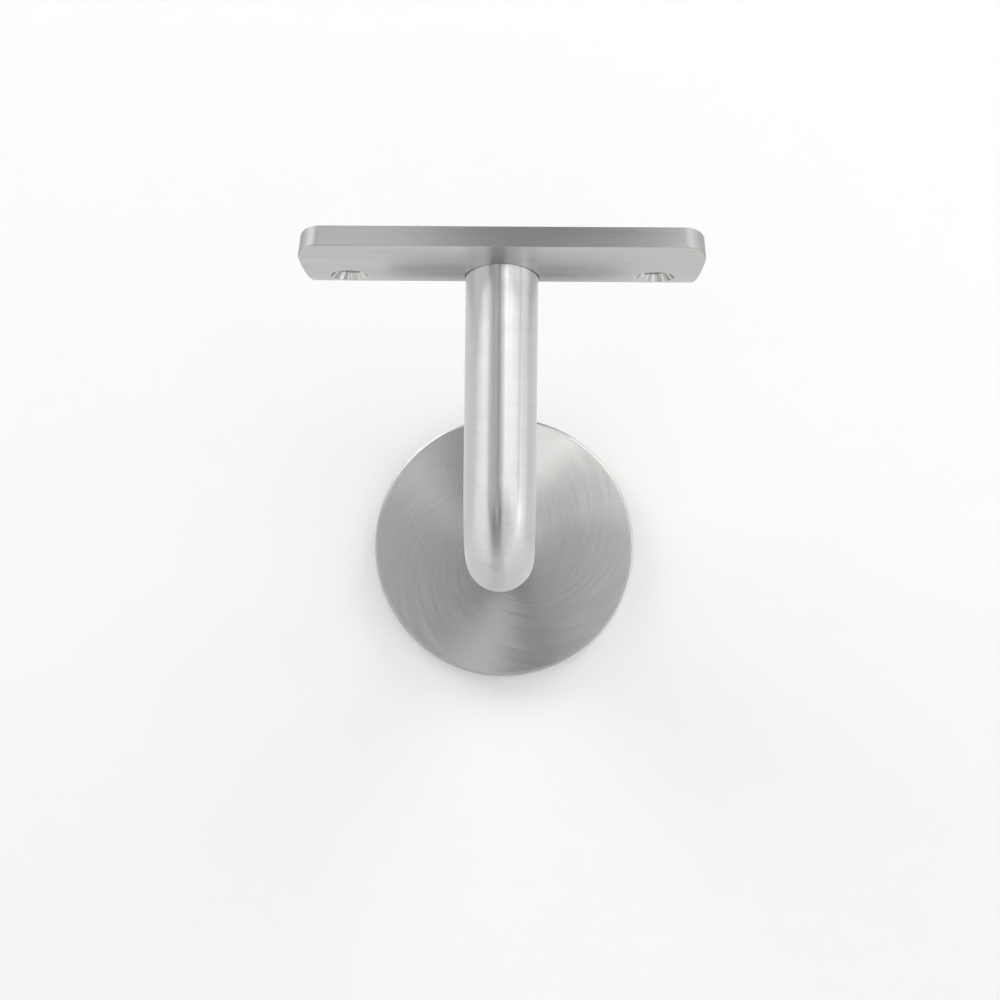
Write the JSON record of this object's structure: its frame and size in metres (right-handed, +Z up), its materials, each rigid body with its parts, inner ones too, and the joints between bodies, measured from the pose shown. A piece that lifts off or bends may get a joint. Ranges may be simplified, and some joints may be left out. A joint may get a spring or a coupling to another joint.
{
  "type": "handrail bracket",
  "caption": "Wall bracket for a round handrail: a curved saddle plate on a bent round arm, with a wall flange under a round cover rosette.",
  "frame": {"origin": "centre of the wall flange's back face, which bears on the wall", "axes": "+Z up, +Y into the wall, +X along the handrail; the bracket stands out along -Y"},
  "size_m": [0.0644, 0.0825, 0.0827],
  "materials": {
    "brushed_bar": "satin, ground along the bar",
    "brushed_plate": "satin, ground along the plate",
    "brushed_rosette": "satin, ground round the centre",
    "turned_flange": "turned, unpolished",
    "ground_weld": "weld ground flush"
  },
  "bodies": {
    "root": {"arm": "brushed_bar", "saddle_plate": "brushed_plate", "saddle_weld": "ground_weld", "wall_flange": "turned_flange", "flange_weld": "ground_weld", "cover_rosette": "brushed_rosette"}
  },
  "joints": []
}
